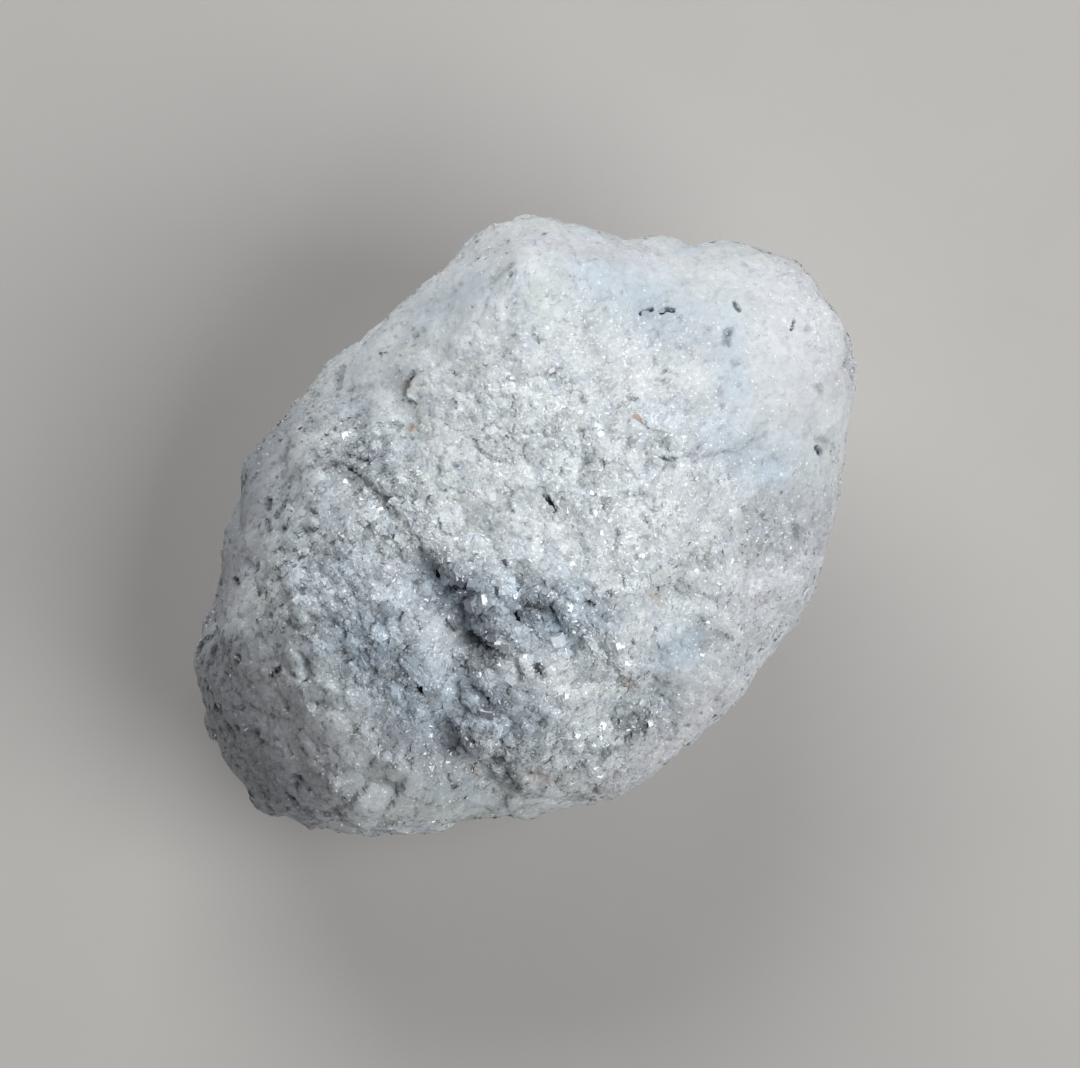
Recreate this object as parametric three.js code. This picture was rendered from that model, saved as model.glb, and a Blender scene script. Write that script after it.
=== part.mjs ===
// A rough diamond of the fine-grained, cloudy grey-white kind: one stone, one closed solid.
// It is shaped as it lies, seen from straight above: u runs to the right, v runs away from
// the viewer and w runs up from the waist, the level at which the stone is widest.
// At the end it is turned so that its longest way runs along X, and set down on Z = 0.

import * as THREE from "three";
import { mergeVertices } from "three/addons/utils/BufferGeometryUtils.js";
import { ImprovedNoise } from "three/addons/math/ImprovedNoise.js";

// Driving dimensions, in millimetres
const STONE_LENGTH = 13;
const CROWN_HEIGHT = 4.3;
const BELLY_DEPTH = 4.0;
const REST_DEPTH = 3.75;
const LONG_WAY = THREE.MathUtils.degToRad(39);
// How much higher the waist is at the far right end than at the middle, and lower at the near left
const WAIST_RISE = 0.7;

// How full the stone is between its waist and its top or bottom: 2 is an ellipsoid
const CROWN_FULLNESS = 2.25;
const BELLY_FULLNESS = 2.3;

// Surface of the mesh: a 20-sided ball with each side cut into (MESH_CUTS + 1) squared
const MESH_CUTS = 20;

// The outline at the waist, as [u, v], clockwise from the far end of the short way
const OUTLINE = [
  [0.0, 5.33],
  [1.2, 5.07],
  [1.74, 4.99],
  [2.13, 5.08],
  [2.56, 5.02],
  [2.9, 4.88],
  [3.5, 4.94],
  [4.1, 4.76],
  [4.87, 4.32],
  [5.3, 3.6],
  [5.5, 3.05],
  [5.54, 2.4],
  [5.4, 0.8],
  [5.26, 0.0],
  [4.92, -1.04],
  [4.56, -1.54],
  [4.18, -2.12],
  [3.84, -2.75],
  [3.04, -3.48],
  [2.13, -4.2],
  [1.6, -4.5],
  [0.6, -4.65],
  [-0.1, -4.8],
  [-1.02, -4.88],
  [-1.45, -5.04],
  [-2.3, -5.14],
  [-3.2, -5.1],
  [-4.1, -4.84],
  [-4.8, -4.34],
  [-5.3, -3.7],
  [-5.7, -2.6],
  [-5.72, -2.12],
  [-5.42, -1.45],
  [-5.12, -0.15],
  [-4.87, 0.61],
  [-4.75, 1.13],
  [-4.5, 1.6],
  [-4.1, 1.96],
  [-3.16, 3.09],
  [-1.88, 4.17],
  [-0.6, 5.12],
];

// Worn faces of the stone. Each is nearly flat: it looks towards "bearing", counted anticlockwise
// from u, leans back from straight up by "tilt" and stands "distance" off the centre.
const FACE_SHARPNESS = 14;
const FACES = {
  plateau: { bearing: 200, tilt: 4, distance: 4.12 },
  farRightShoulder: { bearing: 45, tilt: 38, distance: 5.35 },
  rightSlope: { bearing: 350, tilt: 38, distance: 4.8 },
  nearRightSlope: { bearing: 300, tilt: 38, distance: 4.7 },
  nearLeftSlope: { bearing: 238, tilt: 33, distance: 4.75 },
  leftEnd: { bearing: 206, tilt: 60, distance: 5.65 },
  leftFlank: { bearing: 163, tilt: 63, distance: 4.65 },
  farLeftSlope: { bearing: 129, tilt: 41, distance: 4.5 },
  farFlankBelow: { bearing: 100, tilt: 118, distance: 4.9 },
  rightFlankBelow: { bearing: 15, tilt: 122, distance: 4.9 },
  nearFlankBelow: { bearing: 290, tilt: 125, distance: 4.5 },
  leftEndBelow: { bearing: 215, tilt: 130, distance: 5.3 },
  farLeftBelly: { bearing: 140, tilt: 140, distance: 4.2 },
  rightBelly: { bearing: 340, tilt: 148, distance: 4.0 },
};

// Lumps and hollows of the crown. Each follows a line of [u, v] points, with a rise above the
// ground round it, or below it if negative, that fades out over "width". None reaches the waist:
// they fade in between the two heights of RELIEF_FADE. The lines are drawn as seen from
// VIEW_LEAN in front of straight above, where a point shows further away the higher it is.
const RELIEF_FADE = [0.2, 1.4];
const VIEW_LEAN = THREE.MathUtils.degToRad(4);
const CROWN_RELIEF = {
  deepHollow: { line: [[-1.65, -0.75], [-1.0, -1.95]], width: 0.34, rise: -0.42 },
  scarpOverHollow: { line: [[-0.95, -0.35], [-0.3, -1.55]], width: 0.4, rise: 0.16 },
  trough: { line: [[-1.1, -2.2], [-1.25, -2.9], [-1.6, -3.8]], width: 0.34, rise: -0.32 },
  troughToEdge: { line: [[-1.6, -3.8], [-0.6, -4.45]], width: 0.3, rise: -0.28 },
  roundLobe: { line: [[-2.1, -1.4], [-1.8, -2.0]], width: 0.34, rise: 0.1 },
  centreBrow: { line: [[0.1, -0.5], [1.2, -1.0]], width: 0.4, rise: 0.14 },
  dipBelowBrow: { line: [[-0.3, -1.35], [0.7, -1.95]], width: 0.42, rise: -0.24 },
  paleMass: { line: [[1.5, 0.4], [2.4, -0.2]], width: 0.5, rise: 0.12 },
  nearRightHollow: { line: [[1.5, -3.35], [2.2, -3.0]], width: 0.42, rise: -0.36 },
  nearLump: { line: [[0.0, -2.9], [0.5, -2.7]], width: 0.5, rise: 0.1 },
  rightDimple: { line: [[2.7, -1.1], [3.2, -2.0]], width: 0.36, rise: -0.14 },
  crossingCrease: { line: [[1.9, 1.2], [3.3, 1.2]], width: 0.22, rise: -0.12 },
  rightFlankDip: { line: [[4.5, 0.4], [4.3, -0.4]], width: 0.5, rise: -0.26 },
  farDimple: { line: [[2.2, 3.5], [2.5, 3.3]], width: 0.35, rise: -0.1 },
  leftPit: { line: [[-3.3, 1.05], [-3.1, 0.85]], width: 0.24, rise: -0.22 },
  leftRidge: { line: [[-4.05, -0.6], [-3.7, -2.4], [-3.2, -4.3]], width: 0.4, rise: 0.1 },
  leftCrease: { line: [[-4.2, 1.75], [-4.5, 0.2], [-4.7, -0.6]], width: 0.2, rise: -0.14 },
  farLeftNotch: { line: [[-2.3, 2.5], [-2.1, 2.1]], width: 0.26, rise: -0.14 },
  farRim: { line: [[0.2, 4.5], [1.6, 4.3]], width: 0.6, rise: 0.22 },
  farRightLobe: { line: [[3.6, 3.6], [4.5, 3.0]], width: 0.7, rise: 0.12 },
};

// Waves all over the surface: a broad swell, then lumps and knobs, which are rounded with a narrow
// crease between them. A lump is at its full height where the noise under it passes CREASE_FULL.
const SWELL = { across: 3.4, height: 0.16 };
const LUMPS = { across: 1.5, height: 0.1 };
const KNOBS = { across: 0.8, height: 0.05 };
const CREASE_FULL = 0.45;
const CREASE_MEAN = 0.45;
const CREASE_SHIFT = new THREE.Vector3(7.3, -2.1, 4.7);

const STONE_COLOUR = 0xb4bac0;
const STONE_ROUGHNESS = 0.55;

// Radius of the outline at a bearing in radians, from a smooth closed curve through its points.
const outlineCurve = new THREE.CatmullRomCurve3(
  OUTLINE.map(([u, v]) => new THREE.Vector3(u, v, 0)),
  true,
  "centripetal",
);
const OUTLINE_SAMPLES = 1440;
const outlineSamples = outlineCurve
  .getPoints(OUTLINE_SAMPLES)
  .map((p) => ({ bearing: Math.atan2(p.y, p.x), radius: Math.hypot(p.x, p.y) }))
  .sort((a, b) => a.bearing - b.bearing);

function outlineRadius(bearing) {
  let low = 0;
  let high = outlineSamples.length - 1;
  while (high - low > 1) {
    const middle = (low + high) >> 1;
    if (outlineSamples[middle].bearing <= bearing) low = middle;
    else high = middle;
  }
  const before = outlineSamples[low];
  const after = outlineSamples[high];
  const span = after.bearing - before.bearing || 1;
  const share = THREE.MathUtils.clamp((bearing - before.bearing) / span, 0, 1);
  return THREE.MathUtils.lerp(before.radius, after.radius, share);
}

const facePlanes = Object.values(FACES).map(({ bearing, tilt, distance }) => {
  const turn = THREE.MathUtils.degToRad(bearing);
  const lean = THREE.MathUtils.degToRad(tilt);
  const out = new THREE.Vector3(
    Math.sin(lean) * Math.cos(turn),
    Math.sin(lean) * Math.sin(turn),
    Math.cos(lean),
  );
  return { out, distance };
});

// Distance from the centre to the full, unworn form in one direction, over its outline.
function fullRadius(direction) {
  const upper = direction.z > 0;
  const fullness = upper ? CROWN_FULLNESS : BELLY_FULLNESS;
  const height = upper ? CROWN_HEIGHT : BELLY_DEPTH;
  const reach = outlineRadius(Math.atan2(direction.y, direction.x));
  const across = Math.hypot(direction.x, direction.y) / reach;
  const upwards = Math.abs(direction.z) / height;
  return (across ** fullness + upwards ** fullness) ** (-1 / fullness);
}

// The same with each worn face planed off it and the edges between the faces left round.
function wornRadius(direction) {
  let sum = fullRadius(direction) ** -FACE_SHARPNESS;
  for (const { out, distance } of facePlanes) {
    const facing = Math.max(0, direction.dot(out)) / distance;
    sum += facing ** FACE_SHARPNESS;
  }
  return sum ** (-1 / FACE_SHARPNESS);
}

// The worn form, let out again at the waist so that the outline stays as drawn.
const level = new THREE.Vector3();
function bodyRadius(direction) {
  level.set(direction.x, direction.y, 0).normalize();
  const worn = wornRadius(level) / fullRadius(level);
  const steepness = Math.abs(direction.z);
  return wornRadius(direction) * THREE.MathUtils.lerp(1 / worn, 1, steepness);
}

// Distance in plan from a point to a line of points.
const nearest = new THREE.Vector2();
function distanceToLine(point, line) {
  let least = Infinity;
  for (let i = 0; i + 1 < line.length; i++) {
    const start = new THREE.Vector2(...line[i]);
    const along = new THREE.Vector2(...line[i + 1]).sub(start);
    const from = nearest.set(point.x, point.y).sub(start);
    const share = THREE.MathUtils.clamp(from.dot(along) / along.lengthSq(), 0, 1);
    least = Math.min(least, from.addScaledVector(along, -share).length());
  }
  return least;
}

const shown = new THREE.Vector2();
function crownRelief(point) {
  shown.set(point.x, point.y + point.z * Math.tan(VIEW_LEAN));
  let rise = 0;
  for (const feature of Object.values(CROWN_RELIEF)) {
    const away = distanceToLine(shown, feature.line) / feature.width;
    rise += feature.rise * Math.exp(-away * away);
  }
  return rise * THREE.MathUtils.smoothstep(point.z, ...RELIEF_FADE);
}

const noise = new ImprovedNoise();
function noiseAt({ x, y, z }) {
  return noise.noise(x, y, z);
}

function swell(point) {
  return SWELL.height * noiseAt(point.clone().divideScalar(SWELL.across));
}

function creasedWaves(point, { across, height }) {
  const value = noiseAt(point.clone().divideScalar(across).add(CREASE_SHIFT));
  return height * (Math.min(1, Math.abs(value) / CREASE_FULL) - CREASE_MEAN);
}

// The waist runs aslant: the ground moves up or down with it, but not at the top or the flat spot.
const longAxis = new THREE.Vector3(Math.cos(LONG_WAY), Math.sin(LONG_WAY), 0);
function waistShift(point) {
  const depth = point.z > 0 ? CROWN_HEIGHT : REST_DEPTH;
  const share = Math.max(0, 1 - (point.z / depth) ** 2);
  return WAIST_RISE * share * (point.dot(longAxis) / (STONE_LENGTH / 2));
}

// The point of the finished surface in one direction from the middle of the waist.
function surfacePoint(direction) {
  const body = bodyRadius(direction);
  const ground = direction.clone().multiplyScalar(body);
  let reach = body + crownRelief(ground) + swell(ground);
  reach += creasedWaves(ground, LUMPS) + creasedWaves(ground, KNOBS);
  if (direction.z < 0) reach = Math.min(reach, REST_DEPTH / -direction.z);
  const point = direction.clone().multiplyScalar(reach);
  point.z += waistShift(point);
  return point;
}

function stoneGeometry() {
  const ball = new THREE.IcosahedronGeometry(1, MESH_CUTS);
  ball.deleteAttribute("normal");
  ball.deleteAttribute("uv");
  const geometry = mergeVertices(ball, 1e-5);
  const positions = geometry.getAttribute("position");
  const direction = new THREE.Vector3();
  for (let i = 0; i < positions.count; i++) {
    direction.fromBufferAttribute(positions, i).normalize();
    const point = surfacePoint(direction);
    positions.setXYZ(i, point.x, point.y, point.z);
  }
  geometry.rotateZ(-LONG_WAY);
  geometry.computeBoundingBox();
  const box = geometry.boundingBox;
  const centre = box.getCenter(new THREE.Vector3());
  geometry.translate(-centre.x, -centre.y, -box.min.z);
  const scale = STONE_LENGTH / (box.max.x - box.min.x);
  geometry.scale(scale, scale, scale);
  geometry.computeVertexNormals();
  return geometry;
}

const diamondMaterial = new THREE.MeshStandardMaterial({
  color: STONE_COLOUR,
  roughness: STONE_ROUGHNESS,
  metalness: 0,
  flatShading: true,
});

const roughDiamond = new THREE.Mesh(stoneGeometry(), diamondMaterial);
roughDiamond.name = "rough_diamond";

const object = new THREE.Group();
object.name = "rough diamond";
object.add(roughDiamond);

export default object;
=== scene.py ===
import itertools
import math

import bmesh
import bpy
import numpy as np
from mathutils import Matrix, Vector
from mathutils.bvhtree import BVHTree
from mathutils.kdtree import KDTree


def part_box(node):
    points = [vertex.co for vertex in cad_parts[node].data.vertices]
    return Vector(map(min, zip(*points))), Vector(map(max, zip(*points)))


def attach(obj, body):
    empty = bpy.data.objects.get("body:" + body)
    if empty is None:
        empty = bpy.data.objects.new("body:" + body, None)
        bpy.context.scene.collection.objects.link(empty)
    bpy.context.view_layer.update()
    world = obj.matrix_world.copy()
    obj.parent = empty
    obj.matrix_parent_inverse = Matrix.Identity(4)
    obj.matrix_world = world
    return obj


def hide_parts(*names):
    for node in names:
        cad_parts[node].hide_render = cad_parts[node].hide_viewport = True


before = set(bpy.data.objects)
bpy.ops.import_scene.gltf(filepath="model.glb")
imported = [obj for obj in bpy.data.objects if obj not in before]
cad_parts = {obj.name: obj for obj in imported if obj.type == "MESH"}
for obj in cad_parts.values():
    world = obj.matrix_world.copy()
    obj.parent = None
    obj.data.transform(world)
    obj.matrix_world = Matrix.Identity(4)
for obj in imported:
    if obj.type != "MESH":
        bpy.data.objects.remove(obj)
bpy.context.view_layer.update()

# The stone
#
# One rough diamond: a cloudy mass of fine crystals, grown tight together and worn round. Its
# surface is the solid's, cut finer, broken into small crystal faces, and pitted and cracked
# where the photograph shows it.

MM = 0.001
stone_low, stone_high = (np.array(corner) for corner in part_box("rough_diamond"))
stone_middle = (stone_low + stone_high) / 2

# How the photograph sees the stone. Its 1080 by 1068 pixels place every mark that follows.
PICTURE_TURN = math.radians(-39)
PICTURE_RISE = math.radians(86)
PICTURE_AWAY = 300 * MM
PICTURE_PIXEL = 0.017074 * MM
PICTURE_MIDDLE = (540, 534)
STONE_MIDDLE_SHOWS_AT = (530, 535)

towards_camera = np.array(
    [
        math.sin(PICTURE_TURN) * math.cos(PICTURE_RISE),
        -math.cos(PICTURE_TURN) * math.cos(PICTURE_RISE),
        math.sin(PICTURE_RISE),
    ]
)
picture_right = np.array([math.cos(PICTURE_TURN), math.sin(PICTURE_TURN), 0])
picture_up = np.cross(towards_camera, picture_right)
looked_at = (
    stone_middle
    + picture_right * (PICTURE_MIDDLE[0] - STONE_MIDDLE_SHOWS_AT[0]) * PICTURE_PIXEL
    - picture_up * (PICTURE_MIDDLE[1] - STONE_MIDDLE_SHOWS_AT[1]) * PICTURE_PIXEL
)


def in_picture(points):
    """Where the photograph shows these points, in its pixels."""
    off = points - looked_at
    nearness = PICTURE_AWAY / (PICTURE_AWAY - off @ towards_camera)
    right = off @ picture_right * nearness / PICTURE_PIXEL
    up = off @ picture_up * nearness / PICTURE_PIXEL
    return np.stack([PICTURE_MIDDLE[0] + right, PICTURE_MIDDLE[1] - up], 1)


def lengths(vectors):
    return np.linalg.norm(vectors, axis=-1, keepdims=True)


def unit(vectors):
    return vectors / np.maximum(lengths(vectors), 1e-12)


def ramp(values, start, end):
    """0 before start, 1 past end, and smooth between them."""
    share = np.clip((values - start) / (end - start), 0, 1)
    return share * share * (3 - 2 * share)


# The surface that the solid has, read by rays from its middle. Corners are one and the same
# when they agree to this many digits, in metres on the solid and in directions on a ball.
SOLID_DIGITS = 8
BALL_DIGITS = 7


def without_doubles(corners, faces, digits):
    """The corners with doubles made one, and the faces of the corners that are left."""
    kept, now = np.unique(np.round(corners, digits), axis=0, return_inverse=True)
    return kept, now.ravel()[faces]


def welded(mesh):
    """The mesh's corners with doubles joined, and its triangles."""
    corners = np.empty(len(mesh.vertices) * 3)
    mesh.vertices.foreach_get("co", corners)
    mesh.calc_loop_triangles()
    triangles = np.empty(len(mesh.loop_triangles) * 3, np.int64)
    mesh.loop_triangles.foreach_get("vertices", triangles)
    return without_doubles(corners.reshape(-1, 3), triangles.reshape(-1, 3), SOLID_DIGITS)


def face_outward(corners, triangles):
    """Outward directions of the faces, each as long as twice its face's area."""
    a, b, c = (corners[triangles[:, i]] for i in range(3))
    return np.cross(b - a, c - a)


def corner_normals(corners, triangles):
    """Outward directions at the corners, each the mean of the faces round it."""
    outward = face_outward(corners, triangles)
    total = np.zeros_like(corners)
    for i in range(3):
        np.add.at(total, triangles[:, i], outward)
    return unit(total)


def ball_grid(cells):
    """A ball whose six sides have cells by cells quads: its directions and its quads."""
    steps = np.tan(np.linspace(-1, 1, cells + 1) * math.pi / 4)
    first, second = np.meshgrid(steps, steps, indexing="ij")
    number = np.arange((cells + 1) ** 2).reshape(cells + 1, cells + 1)
    quad = np.stack(
        [number[:-1, :-1], number[1:, :-1], number[1:, 1:], number[:-1, 1:]], -1
    ).reshape(-1, 4)
    corners, quads = [], []
    for axis, sign in itertools.product(range(3), (-1, 1)):
        side = np.empty((cells + 1, cells + 1, 3))
        side[..., axis] = sign
        side[..., (axis + 1) % 3] = first
        side[..., (axis + 2) % 3] = second * sign
        quads.append(quad + len(corners) * number.size)
        corners.append(side.reshape(-1, 3))
    kept, quads = without_doubles(np.concatenate(corners), np.concatenate(quads), BALL_DIGITS)
    return unit(kept), quads


# How finely each of a ball's six sides is cut, and how far chance shifts the corners, as a
# share of the space between them
SIDE_CELLS = 122
CELL_SHIFT = 0.28
chance = np.random.default_rng(41)

solid_corners, solid_triangles = welded(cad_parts["rough_diamond"].data)
solid_normals = corner_normals(solid_corners, solid_triangles)
solid_tree = BVHTree.FromPolygons(solid_corners.tolist(), solid_triangles.tolist())


def surface_of_solid(directions):
    """The solid's surface in each direction from its middle, with its faces rounded over."""
    hits = [solid_tree.ray_cast(stone_middle, d) for d in directions.tolist()]
    spots = np.array([hit[0] for hit in hits])
    face = solid_triangles[[hit[2] for hit in hits]]
    a, b, c = (solid_corners[face[:, i]] for i in range(3))
    full = np.cross(b - a, c - a)
    size = (full * full).sum(1)
    rounded = np.zeros_like(spots)
    for i, (corner, start, end) in enumerate(((a, b, c), (b, c, a), (c, a, b))):
        share = (np.cross(end - start, spots - start) * full).sum(1) / size
        normal = solid_normals[face[:, i]]
        below = ((spots - corner) * normal).sum(1, keepdims=True)
        rounded += share[:, None] * (spots - below * normal)
    return (spots + rounded) / 2


def evened(values, triangles, rounds):
    """Each corner's value averaged with its neighbours', so many times over."""
    start = triangles.ravel()
    end = triangles[:, [1, 2, 0]].ravel()
    number = np.bincount(start, minlength=len(values))[:, None]
    for _ in range(rounds):
        beside = [np.bincount(start, values[end, i], len(values)) for i in range(values.shape[1])]
        values = (values + np.stack(beside, 1) / number) / 2
    return values


directions, quads = ball_grid(SIDE_CELLS)
directions = unit(
    directions
    + chance.uniform(-1, 1, directions.shape) * CELL_SHIFT * math.pi / 2 / SIDE_CELLS
)
body = surface_of_solid(directions)
one_way = chance.random(len(quads)) < 0.5
body_faces = np.where(
    one_way[:, None, None],
    quads[:, [[0, 1, 2], [0, 2, 3]]],
    quads[:, [[0, 1, 3], [1, 2, 3]]],
).reshape(-1, 3)
EVEN_ROUNDS = 6
body = evened(body, body_faces, EVEN_ROUNDS)


# Marks that show one by one in the photograph. Each follows a line of its pixels. Widths are
# pixels too, depths are millimetres before this share of them is cut, and dark is how black
# the mark is.
PIT_DEPTH_SHARE = 0.7


def mark(line, width, depth, dark):
    return {"line": line, "width": width, "depth": depth * MM * PIT_DEPTH_SHARE, "dark": dark}


PITS = {
    "zigzag, upper": mark([(545, 496), (552, 504)], 4.4, 0.2, 1.3),
    "zigzag, lower": mark([(550, 503), (555, 510)], 5.4, 0.2, 1.3),
    "triangle on the left": mark([(348, 469), (356, 475)], 5.5, 0.2, 1.1),
    "over the triangle": mark([(346, 455), (368, 462)], 9, 0.1, 0.4),
    "by the right edge": mark([(819, 448), (821, 452)], 5, 0.16, 0.9),
    "over the right edge pit": mark([(818, 439), (826, 441)], 6, 0.05, 0.35),
    "long grey": mark([(729, 330), (727, 342)], 6, 0.1, 0.6),
    "over the long grey": mark([(735, 303), (739, 309)], 4.2, 0.1, 0.75),
    "slit": mark([(794, 321), (792, 329)], 2.2, 0.1, 0.7),
    "far crack, left bit": mark([(641, 313), (652, 309)], 3.4, 0.12, 0.8),
    "far crack, right bit": mark([(661, 312), (667, 309), (673, 310)], 3.8, 0.14, 0.85),
    "green dimple": mark([(579, 393), (584, 402)], 5, 0.08, 0.6),
    "dimple right of it": mark([(629, 398), (637, 399)], 4.5, 0.07, 0.65),
    "square pit": mark([(601, 461), (606, 466)], 5, 0.09, 0.65),
    "corner hollow": mark([(662, 459), (672, 459)], 5.5, 0.12, 0.8),
    "corner hollow, upper": mark([(664, 440), (668, 450)], 5, 0.06, 0.4),
    "short crack": mark([(621, 471), (628, 492)], 2, 0.04, 0.4),
    "green pit": mark([(643, 516), (649, 523)], 5.5, 0.08, 0.5),
    "dark nick": mark([(585, 602), (593, 606)], 4.4, 0.16, 1.15),
    "black block": mark([(545, 607), (552, 616)], 7, 0.2, 1.2),
    "black block, left": mark([(515, 612), (521, 622)], 7, 0.18, 1.1),
    "between the blocks": mark([(529, 606), (540, 611)], 4, 0.12, 0.8),
    "lower block": mark([(537, 666), (541, 675)], 8, 0.18, 1.1),
    "near pit": mark([(417, 689), (422, 692)], 6.5, 0.18, 1.2),
    "pit over the lobe": mark([(438, 569), (443, 574)], 6, 0.18, 1.2),
    "pit left of it": mark([(428, 596), (431, 600)], 4.5, 0.1, 0.7),
    # The marks on the hollow's walls and floor and along the trough are partly its darker crystals
    # and partly painted shade in these recesses
    "hollow wall, top": mark([(455, 585), (470, 590)], 9, 0.14, 0.9),
    "hollow wall, left": mark([(449, 622), (456, 632)], 6, 0.12, 0.75),
    "hollow floor, left": mark([(470, 634), (483, 646)], 9, 0.12, 0.9),
    "hollow floor, right": mark([(487, 650), (498, 652)], 6, 0.12, 0.75),
    "trough, top": mark([(456, 660), (463, 668)], 7, 0.1, 0.65),
    "trough, middle": mark([(474, 686), (488, 704)], 8, 0.14, 0.95),
    "trough, left": mark([(450, 724), (458, 730)], 6, 0.1, 0.6),
    "trough, right": mark([(468, 738), (476, 745)], 6, 0.1, 0.65),
    "trough, low": mark([(448, 749), (456, 754)], 7, 0.1, 0.7),
    "trough, lowest": mark([(495, 758), (506, 762)], 7, 0.12, 0.8),
    "edge pit": mark([(511, 786), (517, 791)], 8, 0.1, 0.55),
    "left slope, dot": mark([(235, 579), (236, 583)], 4.5, 0.1, 0.9),
    "left slope, spot": mark([(289, 623), (294, 628)], 6, 0.08, 0.65),
    "low left, dots": mark([(270, 676), (279, 669)], 5, 0.08, 0.7),
    "low left, end": mark([(217, 708), (219, 712)], 6, 0.08, 0.5),
    "near left crack": mark([(321, 700), (323, 735), (327, 768)], 2.2, 0.03, 0.35),
    "near left crease": mark([(328, 671), (345, 663), (367, 650)], 3, 0.03, 0.28),
    "left crease": mark([(288, 440), (285, 458), (281, 478)], 4, 0.04, 0.35),
    "left edge, upper": mark([(268, 500), (267, 508)], 6, 0.08, 0.7),
    "left edge, lower": mark([(266, 520), (267, 530)], 5, 0.08, 0.65),
    "far left curve": mark([(343, 367), (338, 376), (338, 388)], 5, 0.06, 0.4),
    "far left spot": mark([(311, 390), (316, 394)], 6, 0.06, 0.35),
    "brown notch": mark([(413, 372), (407, 382), (404, 393)], 4, 0.1, 0.6),
    "under the notch": mark([(409, 402), (413, 404)], 4, 0.08, 0.6),
    "green by the crystal": mark([(391, 423), (400, 425)], 6, 0.06, 0.5),
    "green, left": mark([(349, 418), (352, 428)], 6, 0.06, 0.45),
    "far groove": mark([(512, 263), (502, 271), (491, 281)], 4.5, 0.05, 0.25),
    "black speck": mark([(452, 371), (455, 373)], 2.6, 0.08, 0.9),
    "thin crack, far": mark([(493, 381), (502, 379)], 2, 0.06, 0.6),
    "dot": mark([(505, 436), (507, 438)], 2.8, 0.08, 0.8),
    "beside the pale crystal": mark([(440, 520), (441, 532)], 2.6, 0.06, 0.65),
    "under the pale crystal": mark([(442, 534), (462, 536)], 2, 0.05, 0.5),
    "right of the pale crystal": mark([(484, 522), (491, 530)], 5, 0.04, 0.45),
    "small pits": mark([(511, 491), (512, 496)], 3, 0.06, 0.6),
    "small pits, near": mark([(508, 504), (512, 512)], 4, 0.08, 0.6),
    "darker spot, upper": mark([(454, 464), (459, 469)], 4, 0.06, 0.45),
    "green spot": mark([(410, 498), (412, 506)], 5, 0.06, 0.45),
    "green left spot": mark([(309, 512), (314, 516)], 6, 0.06, 0.45),
    "crack from the corner": mark(
        [(673, 459), (690, 455), (706, 457), (724, 453), (738, 449)], 2.4, 0.04, 0.4
    ),
    "crack on to the right": mark([(744, 448), (757, 440), (772, 431)], 2.4, 0.03, 0.3),
    "crack over the square": mark([(612, 440), (628, 438), (641, 440), (643, 450)], 1.8, 0.03, 0.35),
    "bluish spot": mark([(819, 388), (822, 393)], 4.5, 0.05, 0.4),
    "specks, far right": mark([(733, 362), (737, 365)], 3, 0.05, 0.4),
    "faint crack": mark([(719, 374), (720, 390), (723, 408)], 2.4, 0.05, 0.4),
    "arc": mark([(549, 243), (544, 256), (549, 268), (561, 275), (577, 275)], 2.6, 0.03, 0.15),
    "right slope, dark": mark([(704, 561), (710, 567)], 8, 0.06, 0.45),
    "right slope, grey": mark([(712, 633), (728, 638)], 9, 0.06, 0.4),
    "right flank, upper": mark([(795, 526), (799, 538)], 7, 0.06, 0.45),
    "hollow, near right": mark([(633, 714), (647, 727)], 7, 0.12, 0.75),
    "crack to that hollow": mark([(598, 722), (616, 720), (632, 716)], 2.6, 0.04, 0.4),
    "under that hollow": mark([(634, 732), (648, 731)], 5, 0.1, 0.65),
    "green oval": mark([(602, 757), (617, 749)], 8, 0.1, 0.5),
    "grey crack": mark([(607, 613), (598, 623), (586, 633), (577, 642)], 3, 0.04, 0.45),
    "green nick": mark([(633, 641), (635, 644)], 3.5, 0.08, 0.7),
    "dark green": mark([(627, 690), (630, 693)], 4.5, 0.08, 0.55),
    "beside the hollow": mark([(503, 561), (506, 566)], 5, 0.1, 0.75),
    "near edge, left": mark([(288, 796), (298, 808), (309, 816)], 6, 0.08, 0.6),
    "near edge, middle": mark([(332, 815), (344, 817)], 5, 0.06, 0.45),
    "near slope": mark([(380, 783), (392, 788)], 8, 0.06, 0.45),
    "near slope, left": mark([(292, 778), (298, 781)], 6, 0.06, 0.5),
}


def distance_to_line(points, line):
    """Distance of points in the picture from a line of points, all in pixels."""
    least = np.full(len(points), np.inf)
    for start, end in itertools.pairwise(np.array(line, float)):
        along = end - start
        share = np.clip((points - start) @ along / (along @ along), 0, 1)
        away = lengths(points - start - share[:, None] * along)[:, 0]
        least = np.minimum(least, away)
    return least


# The mesh is cut finer round the sharpest marks, which are dark and narrow, so that each keeps
# its own shape
SHARP_DARK = 0.68
SHARP_WIDTH = 7
FINE_MARKS = [p for p in PITS.values() if p["dark"] > SHARP_DARK and p["width"] < SHARP_WIDTH]
FINE_REACH = 3.5
FINE_CUTS = 2


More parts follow.
